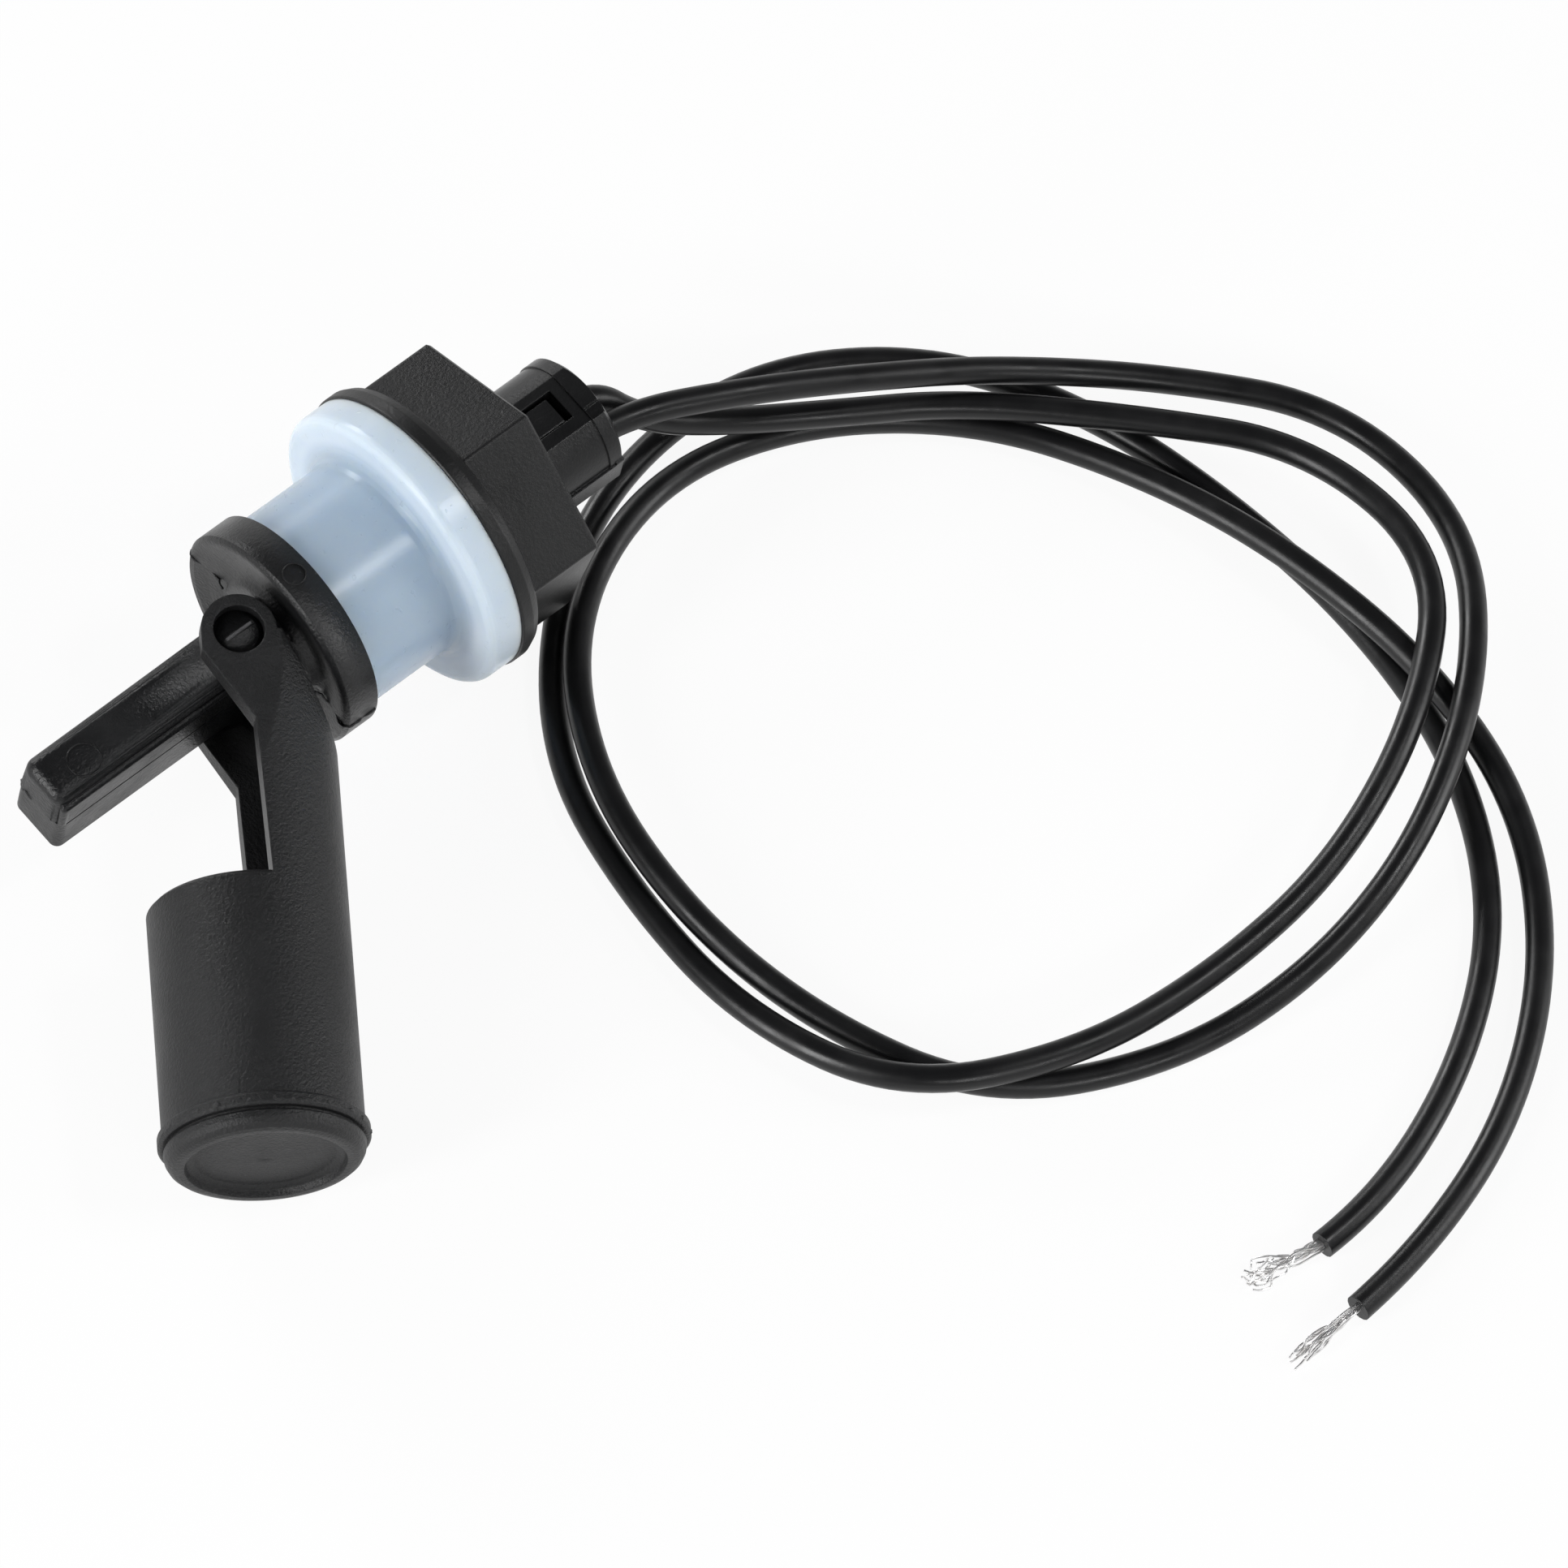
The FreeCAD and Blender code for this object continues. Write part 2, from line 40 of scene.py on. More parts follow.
# the swing plane leans by this much about the stem as the switch lies
restLean = math.radians(7.768)
floatHang = 53.6
floatTurn = math.radians(180 + floatHang)
pivotX = -19.5

cameraView = {
    "location": (-0.47374, -0.50102, 1.11149),
    "turnDegrees": (30.871, -2.907, -41.770),
    "lens": 322.42,
    "sensor": 36.0,
}

studio = {
    "floorZ": -0.0151,
    "floorReach": 6.0,
    "floorColor": (0.88, 0.88, 0.88),
    "floorRoughness": 0.85,
    "floorSpecular": 0.1,
    "fibreScale": 700,
    "fibreDepth": 0.00003,
    "fibreStrength": 0.2,
    "paperEdge": 0.0001,
    "paperShare": 0.92,
    "skyStops": [(0.0, (0.70, 0.70, 0.70)), (0.50, (0.60, 0.60, 0.60)), (0.68, (0.20, 0.20, 0.205)),
                 (1.0, (0.07, 0.07, 0.075))],
    "lamps": [
        # name, place, aimed at, size across, size along, power
        ("backSoftbox", (0.05, 1.00, 0.40), (0.02, -0.04, 0.0), 0.60, 0.30, 5.5),
        ("leftSoftbox", (-0.95, 0.10, 0.42), (0.0, -0.03, 0.0), 0.25, 0.70, 9.0),
        ("rightSoftbox", (0.85, -0.75, 0.40), (0.03, -0.05, 0.0), 0.45, 0.70, 5.5),
        ("overheadLamp", (0.42, -0.46, 1.00), (0.0, -0.02, 0.0), 0.26, 0.12, 2.6),
        ("frontStrip", (-0.30, -0.95, 0.55), (0.0, -0.03, 0.0), 0.60, 0.12, 3.0),
    ],
}


# a point of the swing plane's own axes, in millimetres, as the switch lies
def toObject(x, y, z):
    c, s = math.cos(restLean), math.sin(restLean)
    return Vector((x, y * c - z * s, y * s + z * c)) * mm


# a point along and across the float, in millimetres, as the float hangs
def onFloat(u, v, w):
    c, s = math.cos(floatTurn), math.sin(floatTurn)
    return toObject(u * c - v * s + pivotX, u * s + v * c, w)


def buildCamera(view):
    data = bpy.data.cameras.new("studioCamera")
    camera = bpy.data.objects.new("studioCamera", data)
    bpy.context.scene.collection.objects.link(camera)
    camera.location = view["location"]
    camera.rotation_euler = [math.radians(a) for a in view["turnDegrees"]]
    data.sensor_width = view["sensor"]
    data.lens = view["lens"]
    data.clip_start = 0.05
    data.clip_end = 20.0
    bpy.context.scene.camera = camera


def buildSky(s):
    world = bpy.data.worlds.new("studioSky")
    world.use_nodes = True
    tree = world.node_tree
    coords = tree.nodes.new("ShaderNodeTexCoord")
    split = tree.nodes.new("ShaderNodeSeparateXYZ")
    tree.links.new(coords.outputs["Generated"], split.inputs["Vector"])
    height = tree.nodes.new("ShaderNodeMapRange")
    height.inputs["From Min"].default_value = -1.0
    height.inputs["From Max"].default_value = 1.0
    tree.links.new(split.outputs["Z"], height.inputs["Value"])
    ramp = addRamp(tree, height.outputs["Result"], s["skyStops"])
    background = tree.nodes["Background"]
    tree.links.new(ramp.outputs["Color"], background.inputs["Color"])
    bpy.context.scene.world = world


def buildStudio(s):
    mesh = bpy.data.meshes.new("studioFloor")
    r, z = s["floorReach"], s["floorZ"]
    mesh.from_pydata([(-r, -r, z), (r, -r, z), (r, r, z), (-r, r, z)], [], [(0, 1, 2, 3)])
    floor = bpy.data.objects.new("studioFloor", mesh)
    bpy.context.scene.collection.objects.link(floor)
    mesh.materials.append(paperFinish(s))
    buildSky(s)
    for name, place, aim, across, along, power in s["lamps"]:
        data = bpy.data.lights.new(name, "AREA")
        data.shape = "RECTANGLE"
        data.size = across
        data.size_y = along
        data.energy = power
        lamp = bpy.data.objects.new(name, data)
        bpy.context.scene.collection.objects.link(lamp)
        lamp.location = place
        lamp.rotation_euler = (Vector(aim) - Vector(place)).to_track_quat("-Z", "Y").to_euler()


def newFinish(name, color, roughness, specular=0.5):
    material = bpy.data.materials.new(name)
    material.use_nodes = True
    shader = material.node_tree.nodes["Principled BSDF"]
    shader.inputs["Base Color"].default_value = (*color, 1)
    shader.inputs["Roughness"].default_value = roughness
    shader.inputs["Specular IOR Level"].default_value = specular
    return material, material.node_tree, shader


def addMath(tree, operation, first, second):
    node = tree.nodes.new("ShaderNodeMath")
    node.operation = operation
    for socket, source in zip(node.inputs, (first, second)):
        if isinstance(source, (int, float)):
            socket.default_value = source
        else:
            tree.links.new(source, socket)
    return node.outputs["Value"]


def addVector(tree, operation, first, second):
    node = tree.nodes.new("ShaderNodeVectorMath")
    node.operation = operation
    tree.links.new(first, node.inputs[0])
    socket = node.inputs["Scale"] if operation == "SCALE" else node.inputs[1]
    if isinstance(second, (int, float, tuple)):
        socket.default_value = second
    else:
        tree.links.new(second, socket)
    return node.outputs["Vector"]


# white paper: seen straight on, in gloss and through clear pieces, most of it is plain white
def paperFinish(s):
    material, tree, shader = newFinish("palePaper", s["floorColor"], s["floorRoughness"], s["floorSpecular"])
    fibre = addNoise(tree, s["fibreScale"])
    addRelief(tree, shader, [(fibre.outputs["Fac"], s["fibreDepth"], s["fibreStrength"])], s["paperEdge"])
    rays = tree.nodes.new("ShaderNodeLightPath")
    seen = rays.outputs["Is Camera Ray"]
    for kind in ("Is Glossy Ray", "Is Transmission Ray"):
        seen = addMath(tree, "MAXIMUM", seen, rays.outputs[kind])
    share = addMath(tree, "MULTIPLY", seen, s["paperShare"])
    glow = tree.nodes.new("ShaderNodeEmission")
    mix = tree.nodes.new("ShaderNodeMixShader")
    tree.links.new(share, mix.inputs["Fac"])
    tree.links.new(shader.outputs["BSDF"], mix.inputs[1])
    tree.links.new(glow.outputs["Emission"], mix.inputs[2])
    tree.links.new(mix.outputs["Shader"], tree.nodes["Material Output"].inputs["Surface"])
    return material


def addNoise(tree, scale, detail=3.0, rough=0.6, stretch=None):
    coords = tree.nodes.new("ShaderNodeTexCoord")
    source = coords.outputs["Object"]
    if stretch:
        mapping = tree.nodes.new("ShaderNodeMapping")
        mapping.inputs["Scale"].default_value = stretch
        tree.links.new(source, mapping.inputs["Vector"])
        source = mapping.outputs["Vector"]
    noise = tree.nodes.new("ShaderNodeTexNoise")
    noise.inputs["Scale"].default_value = scale
    noise.inputs["Detail"].default_value = detail
    noise.inputs["Roughness"].default_value = rough
    tree.links.new(source, noise.inputs["Vector"])
    return noise


def addRamp(tree, source, stops):
    ramp = tree.nodes.new("ShaderNodeValToRGB")
    elements = ramp.color_ramp.elements
    while len(elements) < len(stops):
        elements.new(0.5)
    for element, (place, color) in zip(elements, stops):
        element.position = place
        element.color = color if len(color) == 4 else (*color, 1)
    tree.links.new(source, ramp.inputs["Fac"])
    return ramp


def addMix(tree, factor, first, second):
    mix = tree.nodes.new("ShaderNodeMix")
    mix.data_type = "RGBA"
    tree.links.new(factor, mix.inputs["Factor"])
    for source, socket in ((first, mix.inputs["A"]), (second, mix.inputs["B"])):
        if isinstance(source, tuple):
            socket.default_value = (*source, 1)
        else:
            tree.links.new(source, socket)
    return mix.outputs["Result"]


# rounded edges first, then each layer of surface relief over them
def addRelief(tree, shader, layers, edgeRadius):
    edge = tree.nodes.new("ShaderNodeBevel")
    edge.samples = 4
    edge.inputs["Radius"].default_value = edgeRadius
    normal = edge.outputs["Normal"]
    for height, depth, strength in layers:
        bump = tree.nodes.new("ShaderNodeBump")
        bump.inputs["Distance"].default_value = depth
        bump.inputs["Strength"].default_value = strength
        tree.links.new(height, bump.inputs["Height"])
        tree.links.new(normal, bump.inputs["Normal"])
        normal = bump.outputs["Normal"]
    tree.links.new(normal, shader.inputs["Normal"])


# shared by all the moulded plastics
plasticWear = {
    "grainDetail": 3.0, "grainRoughness": 0.65, "flowDetail": 2.0, "flowRoughness": 0.5, "flowStrength": 0.35,
    "wearDetail": 5.0, "smoothAt": 0.38, "roughAt": 0.66, "darkAt": 0.3, "darkShare": 0.85, "paleAt": 0.7,
    "paleShare": 1.25, "dustDetail": 2.0, "dustRoughness": 0.45, "dustEdge": 0.03,
}


def mouldedPlastic(name, look, wearLook=plasticWear):
    material, tree, shader = newFinish(name, look["color"], look["roughness"], look["specular"])
    grain = addNoise(tree, look["grainScale"], wearLook["grainDetail"], wearLook["grainRoughness"])
    flow = addNoise(tree, look["flowScale"], wearLook["flowDetail"], wearLook["flowRoughness"])
    addRelief(tree, shader, [
        (grain.outputs["Fac"], look["grainDepth"], look["grainStrength"]),
        (flow.outputs["Fac"], look["flowDepth"], wearLook["flowStrength"]),
    ], look["edgeRadius"])
    wear = addNoise(tree, look["wearScale"], wearLook["wearDetail"], wearLook["grainRoughness"])
    spread = addRamp(tree, wear.outputs["Fac"], [
        (wearLook["smoothAt"], [look["roughness"] - look["roughSpread"]] * 3),
        (wearLook["roughAt"], [look["roughness"] + look["roughSpread"]] * 3),
    ])
    tree.links.new(spread.outputs["Color"], shader.inputs["Roughness"])
    tone = addRamp(tree, wear.outputs["Fac"], [
        (wearLook["darkAt"], [c * wearLook["darkShare"] for c in look["color"]]),
        (wearLook["paleAt"], [c * wearLook["paleShare"] for c in look["color"]]),
    ])
    dust = addNoise(tree, look["dustScale"], wearLook["dustDetail"], wearLook["dustRoughness"])
    specks = addRamp(tree, dust.outputs["Fac"], [
        (look["dustFrom"], (0, 0, 0)), (look["dustFrom"] + wearLook["dustEdge"], (1, 1, 1)),
    ])
    color = addMix(tree, specks.outputs["Color"], tone.outputs["Color"], look["dustColor"])
    tree.links.new(color, shader.inputs["Base Color"])
    return material


plasticLooks = {
    "housingPlastic": {
        "color": (0.0058, 0.0060, 0.0065), "roughness": 0.36, "specular": 0.34, "grainScale": 3000,
        "grainDepth": 0.00012, "grainStrength": 0.75, "flowScale": 160, "flowDepth": 0.00014,
        "wearScale": 110, "roughSpread": 0.08, "dustScale": 1900, "dustFrom": 0.765,
        "dustColor": (0.05, 0.05, 0.05), "edgeRadius": 0.00013,
    },
    "floatPlastic": {
        "color": (0.0085, 0.0087, 0.0092), "roughness": 0.46, "specular": 0.34, "grainScale": 3000,
        "grainDepth": 0.00014, "grainStrength": 0.90, "flowScale": 120, "flowDepth": 0.00012,
        "wearScale": 80, "roughSpread": 0.07, "dustScale": 1900, "dustFrom": 0.765,
        "dustColor": (0.05, 0.05, 0.05), "edgeRadius": 0.00025,
    },
    "nutPlastic": {
        "color": (0.0075, 0.0077, 0.0080), "roughness": 0.40, "specular": 0.30, "grainScale": 2600,
        "grainDepth": 0.00008, "grainStrength": 0.45, "flowScale": 90, "flowDepth": 0.00020,
        "wearScale": 60, "roughSpread": 0.08, "dustScale": 1900, "dustFrom": 0.77,
        "dustColor": (0.05, 0.05, 0.05), "edgeRadius": 0.00025,
    },
    "plugPlastic": {
        "color": (0.0060, 0.0062, 0.0066), "roughness": 0.32, "specular": 0.36, "grainScale": 3000,
        "grainDepth": 0.00006, "grainStrength": 0.40, "flowScale": 150, "flowDepth": 0.00012,
        "wearScale": 100, "roughSpread": 0.07, "dustScale": 2000, "dustFrom": 0.77,
        "dustColor": (0.05, 0.05, 0.05), "edgeRadius": 0.00018,
    },
    # painted highlight: a paler plastic, about twelve times the housing's tone, used only for the bead along
    # the pin's nose ridge
    "paintedHighlightPlastic": {
        "color": (0.075, 0.075, 0.078), "roughness": 0.30, "specular": 0.50, "grainScale": 3600,
        "grainDepth": 0.00005, "grainStrength": 0.40, "flowScale": 200, "flowDepth": 0.00010,
        "wearScale": 300, "roughSpread": 0.08, "dustScale": 2000, "dustFrom": 0.77,
        "dustColor": (0.10, 0.10, 0.10), "edgeRadius": 0.00006,
    },
    "grommetRubber": {
        "color": (0.0070, 0.0070, 0.0070), "roughness": 0.60, "specular": 0.30, "grainScale": 2600,
        "grainDepth": 0.00006, "grainStrength": 0.50, "flowScale": 200, "flowDepth": 0.00008,
        "wearScale": 120, "roughSpread": 0.06, "dustScale": 1600, "dustFrom": 0.77,
        "dustColor": (0.05, 0.05, 0.05), "edgeRadius": 0.00012,
    },
}

siliconeLook = {
    "tubeColor": (0.64, 0.78, 1.0), "flangeColor": (0.68, 0.78, 0.87), "roughness": 0.27,
    "tubeRadius": 0.0104, "flangeRadius": 0.0128, "scatter": 1.0, "scatterReach": (1.0, 1.0, 1.1),
    "scatterScale": 0.0012, "tubeClear": 0.50, "flangeClear": 0.20, "edgeRadius": 0.00025, "ior": 1.41,
    "cloudScale": 130, "cloudFrom": 0.35, "cloudTo": 0.70, "cloudMost": 0.16,
    "cloudColor": (0.85, 0.88, 0.92),
    "brushScale": 900, "brushStretch": (0.3, 1.0, 1.0), "brushDepth": 0.00005, "brushStrength": 0.35,
    "speckScale": 1400, "speckFrom": 0.70, "speckTo": 0.74, "speckDepth": 0.00006, "speckStrength": 0.5,
}


# milky silicone: the thin tube, nearer the stem axis, is clearer and bluer than the flange
def siliconeFinish(look):
    material, tree, shader = newFinish("sealSilicone", look["flangeColor"], look["roughness"])
    shader.inputs["Subsurface Weight"].default_value = look["scatter"]
    shader.inputs["Subsurface Radius"].default_value = look["scatterReach"]
    shader.inputs["Subsurface Scale"].default_value = look["scatterScale"]
    shader.inputs["IOR"].default_value = look["ior"]
    coords = tree.nodes.new("ShaderNodeTexCoord")
    across = tree.nodes.new("ShaderNodeVectorMath")
    across.operation = "MULTIPLY"
    across.inputs[1].default_value = (0, 1, 1)
    tree.links.new(coords.outputs["Object"], across.inputs[0])
    reach = tree.nodes.new("ShaderNodeVectorMath")
    reach.operation = "LENGTH"
    tree.links.new(across.outputs["Vector"], reach.inputs[0])
    thick = tree.nodes.new("ShaderNodeMapRange")
    thick.interpolation_type = "SMOOTHSTEP"
    thick.inputs["From Min"].default_value = look["tubeRadius"]
    thick.inputs["From Max"].default_value = look["flangeRadius"]
    tree.links.new(reach.outputs["Value"], thick.inputs["Value"])
    color = addMix(tree, thick.outputs["Result"], look["tubeColor"], look["flangeColor"])
    cloud = addNoise(tree, look["cloudScale"], 3.0, 0.55)
    haze = addRamp(tree, cloud.outputs["Fac"], [
        (look["cloudFrom"], (0, 0, 0)), (look["cloudTo"], [look["cloudMost"]] * 3),
    ])
    color = addMix(tree, haze.outputs["Color"], color, look["cloudColor"])
    tree.links.new(color, shader.inputs["Base Color"])
    clear = tree.nodes.new("ShaderNodeMapRange")
    clear.inputs["To Min"].default_value = look["tubeClear"]
    clear.inputs["To Max"].default_value = look["flangeClear"]
    tree.links.new(thick.outputs["Result"], clear.inputs["Value"])
    tree.links.new(clear.outputs["Result"], shader.inputs["Transmission Weight"])
    brushed = addNoise(tree, look["brushScale"], stretch=look["brushStretch"])
    specks = addNoise(tree, look["speckScale"], 1.0, 0.4)
    raised = addRamp(tree, specks.outputs["Fac"], [
        (look["speckFrom"], (0, 0, 0)), (look["speckTo"], (1, 1, 1)),
    ])
    addRelief(tree, shader, [
        (brushed.outputs["Fac"], look["brushDepth"], look["brushStrength"]),
        (raised.outputs["Color"], look["speckDepth"], look["speckStrength"]),
    ], look["edgeRadius"])
    return material


sleeveLook = {
    "color": (0.0045, 0.0046, 0.0050), "roughness": 0.34, "specular": 0.36, "grainScale": 1500,
    "grainDepth": 0.00004, "grainStrength": 0.4, "dentScale": 260, "dentDepth": 0.00012, "dentStrength": 0.35,
    "edgeRadius": 0.00015, "glossyAt": 0.35, "glossyRoughness": 0.30, "dullAt": 0.68, "dullRoughness": 0.42,
}


def sleeveFinish(look):
    material, tree, shader = newFinish("wireSleeve", look["color"], look["roughness"], look["specular"])
    grain = addNoise(tree, look["grainScale"], 4.0, 0.6)
    dents = addNoise(tree, look["dentScale"], 2.0, 0.5)
    addRelief(tree, shader, [
        (grain.outputs["Fac"], look["grainDepth"], look["grainStrength"]),
        (dents.outputs["Fac"], look["dentDepth"], look["dentStrength"]),
    ], look["edgeRadius"])
    dull = addRamp(tree, dents.outputs["Fac"], [
        (look["glossyAt"], [look["glossyRoughness"]] * 3), (look["dullAt"], [look["dullRoughness"]] * 3),
    ])
    tree.links.new(dull.outputs["Color"], shader.inputs["Roughness"])
    return material


metalLooks = {
    "tinnedStrand": {"color": (0.95, 0.95, 0.95), "darkColor": (0.78, 0.77, 0.76), "roughness": 0.28},
    "tinnedContact": {"color": (0.72, 0.70, 0.66), "darkColor": (0.52, 0.50, 0.46), "roughness": 0.35},
    "sinteredMagnet": {"color": (0.20, 0.20, 0.21), "darkColor": (0.12, 0.12, 0.12), "roughness": 0.55},
}
# shared by all the metals
metalGrain = {
    "tarnishScale": 900, "darkAt": 0.4, "brightAt": 0.6, "grainScale": 2500, "grainDepth": 0.00002,
    "grainStrength": 0.3, "edgeRadius": 0.00005,
}


def metalFinish(name, look, grainLook=metalGrain):
    material, tree, shader = newFinish(name, look["color"], look["roughness"])
    shader.inputs["Metallic"].default_value = 1.0
    tarnish = addNoise(tree, grainLook["tarnishScale"])
    tint = addRamp(tree, tarnish.outputs["Fac"], [
        (grainLook["darkAt"], look["darkColor"]), (grainLook["brightAt"], look["color"]),
    ])
    tree.links.new(tint.outputs["Color"], shader.inputs["Base Color"])
    grain = addNoise(tree, grainLook["grainScale"])
    addRelief(tree, shader, [
        (grain.outputs["Fac"], grainLook["grainDepth"], grainLook["grainStrength"]),
    ], grainLook["edgeRadius"])
    return material


glassLook = {
    "color": (0.75, 0.9, 0.82), "roughness": 0.05, "clear": 0.8, "hazeScale": 300, "hazeDepth": 0.00002,
    "hazeStrength": 0.1, "edgeRadius": 0.0001,
}


def glassFinish(look):
    material, tree, shader = newFinish("reedGlass", look["color"], look["roughness"])
    shader.inputs["Transmission Weight"].default_value = look["clear"]
    haze = addNoise(tree, look["hazeScale"], 2.0, 0.5)
    addRelief(tree, shader, [
        (haze.outputs["Fac"], look["hazeDepth"], look["hazeStrength"]),
    ], look["edgeRadius"])
    return material


finishes = {name: mouldedPlastic(name, look) for name, look in plasticLooks.items()}
finishes["sealSilicone"] = siliconeFinish(siliconeLook)
finishes["wireSleeve"] = sleeveFinish(sleeveLook)
finishes["reedGlass"] = glassFinish(glassLook)
for name, look in metalLooks.items():
    finishes[name] = metalFinish(name, look)
print("finishes made")

nodeFinishes = {
    "housing_half_upper": "housingPlastic", "housing_half_lower": "housingPlastic",
    "reed_capsule": "reedGlass", "reed_lead_front": "tinnedContact", "reed_lead_rear": "tinnedContact",
    "contact_pin_left": "tinnedContact", "contact_pin_right": "tinnedContact", "receptacle": "plugPlastic",
    "expanding_seal": "sealSilicone", "clamp_nut": "nutPlastic", "float_body": "floatPlastic",
    "float_cap": "floatPlastic", "float_magnet": "sinteredMagnet", "plug_shell": "plugPlastic",
    "plug_lock": "plugPlastic",
    "crimp_terminal_left": "tinnedContact", "crimp_terminal_right": "tinnedContact",
    "wire_seal_left": "grommetRubber", "wire_seal_right": "grommetRubber",
}

buildCamera(cameraView)
buildStudio(studio)
print("camera and studio set")

wireDiameter = 0.0027
wires = {
    "wireLeft": {"node": "wire_left", "strands": "strandsLeft", "length": 0.4234, "points": [
        (0.0203, -0.0019, -0.0007), (0.0265, -0.0019, -0.0007), (0.0380, -0.0072, -0.0016),
        (0.0490, -0.0120, -0.0045), (0.0610, -0.0170, -0.0090), (0.0740, -0.0270, -0.0115),
        (0.0850, -0.0405, -0.0118), (0.0845, -0.0585, -0.0103), (0.0725, -0.0725, -0.0076),
        (0.0570, -0.0815, -0.0093), (0.0410, -0.0845, -0.0118), (0.0250, -0.0825, -0.0132),
        (0.0095, -0.0740, -0.0135), (0.0025, -0.0585, -0.0128), (0.0000, -0.0425, -0.0111),
        (0.0030, -0.0255, -0.0105), (0.0130, -0.0113, -0.0109), (0.0290, -0.0045, -0.0119),
        (0.0450, -0.0080, -0.0130), (0.0585, -0.0185, -0.0135), (0.0660, -0.0335, -0.0125),
        (0.0695, -0.0495, -0.0103), (0.0710, -0.0675, -0.0103), (0.0685, -0.0835, -0.0125),
        (0.0590, -0.0970, -0.0134), (0.0450, -0.1070, -0.0135), (0.0290, -0.1120, -0.0135),
        (0.0205, -0.1125, -0.0135),
    ]},
    "wireRight": {"node": "wire_right", "strands": "strandsRight", "length": 0.4169, "points": [
        (0.0203, 0.0019, -0.0002), (0.0263, 0.0019, -0.0002), (0.0300, -0.0020, -0.0049),
        (0.0375, -0.0055, -0.0086), (0.0465, -0.0105, -0.0102), (0.0570, -0.0175, -0.0103),
        (0.0685, -0.0295, -0.0103), (0.0790, -0.0425, -0.0100), (0.0790, -0.0605, -0.0078),
        (0.0655, -0.0720, -0.0073), (0.0495, -0.0780, -0.0100), (0.0335, -0.0790, -0.0110),
        (0.0175, -0.0775, -0.0101), (0.0025, -0.0695, -0.0106), (-0.0025, -0.0535, -0.0127),
        (-0.0015, -0.0370, -0.0135), (0.0025, -0.0210, -0.0134), (0.0145, -0.0075, -0.0135),
        (0.0295, -0.0005, -0.0134), (0.0460, -0.0010, -0.0133), (0.0600, -0.0105, -0.0135),
        (0.0675, -0.0255, -0.0135), (0.0705, -0.0420, -0.0135), (0.0710, -0.0585, -0.0135),
        (0.0680, -0.0750, -0.0135), (0.0595, -0.0895, -0.0134), (0.0465, -0.0995, -0.0134),
        (0.0305, -0.1055, -0.0135), (0.0225, -0.1055, -0.0135),
    ]},
}


def buildWire(name, look):
    points = look["points"]
    curve = bpy.data.curves.new(name, "CURVE")
    curve.dimensions = "3D"
    spline = curve.splines.new("NURBS")
    spline.points.add(len(points) - 1)
    for point, place in zip(spline.points, points):
        point.co = (*place, 1)
    spline.order_u = 3
    spline.use_endpoint_u = True
    spline.resolution_u = 12
    curve.bevel_depth = wireDiameter / 2
    curve.bevel_resolution = 6
    curve.use_fill_caps = True
    curve.materials.append(finishes["wireSleeve"])
    wire = bpy.data.objects.new(name, curve)
    bpy.context.scene.collection.objects.link(wire)
    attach(wire, "plug")
    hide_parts(look["node"])


for nodeName, finishName in nodeFinishes.items():
    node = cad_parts[nodeName]
    node.data.materials.clear()
    node.data.materials.append(finishes[finishName])
print("finishes on the moulded pieces")

stem = {
    "node": "housing_half_upper", "tip": -42.7, "low": -2.45, "high": 3.0, "top": 4.75, "round": 1.3,
    "keepBelow": -2.5, "bossX": -23.2, "reedPocket": 1.7, "partingGap": 0.02, "steps": 7, "firstCut": 0.01,
}


# the upper half again, with the stem's outer edges and tip well rounded, as it came from the mould
def roundStem(name, look):
    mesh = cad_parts[look["node"]].data.copy()
    mesh.name = name
    lean = Matrix.Rotation(restLean, 4, "X")
    form = bmesh.new()
    form.from_mesh(mesh)
    bmesh.ops.transform(form, matrix=lean.inverted(), verts=form.verts)
    bmesh.ops.remove_doubles(form, verts=form.verts, dist=2e-6)
    r = look["round"]
    for i in range(look["steps"] + 1):
        inset = r * (1 - math.cos(math.pi / 2 * i / look["steps"])) + look["firstCut"]
        cuts = [
            ((look["tip"] + inset, 0, 0), (1, 0, 0)), ((0, look["low"] + inset, 0), (0, 1, 0)),
            ((0, look["high"] - inset, 0), (0, 1, 0)), ((0, 0, look["top"] - inset), (0, 0, 1)),
        ]
        for place, normal in cuts:
            faces = [f for f in form.faces if min(v.co.x for v in f.verts) < look["bossX"] * mm]
            parts = {v for f in faces for v in f.verts} | {e for f in faces for e in f.edges} | set(faces)
            bmesh.ops.bisect_plane(form, geom=list(parts), plane_co=Vector(place) * mm, plane_no=normal,
                                   dist=1e-6)
    for vert in form.verts:
        p = vert.co / mm
        inPocket = Vector((0, p.y, p.z)).length < look["reedPocket"] and p.x > look["tip"] + r
        if p.x > look["bossX"] or p.z < look["partingGap"] or p.y < look["keepBelow"] or inPocket:
            continue
        core = Vector((
            max(p.x, look["tip"] + r),
            min(max(p.y, look["low"] + r), look["high"] - r),
            min(p.z, look["top"] - r),
        ))
        away = p - core
        if away.length > r:
            vert.co = (core + away * (r / away.length)) * mm
    bmesh.ops.transform(form, matrix=lean, verts=form.verts)
    bmesh.ops.recalc_face_normals(form, faces=form.faces)
    form.to_mesh(mesh)
    form.free()
    for polygon in mesh.polygons:
        polygon.use_smooth = True
    mesh.set_sharp_from_angle(angle=math.radians(28))
    half = bpy.data.objects.new(name, mesh)
    bpy.context.scene.collection.objects.link(half)
    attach(half, "housing")
    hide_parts(look["node"])


roundStem("upperHalf", stem)
print("stem rounded")


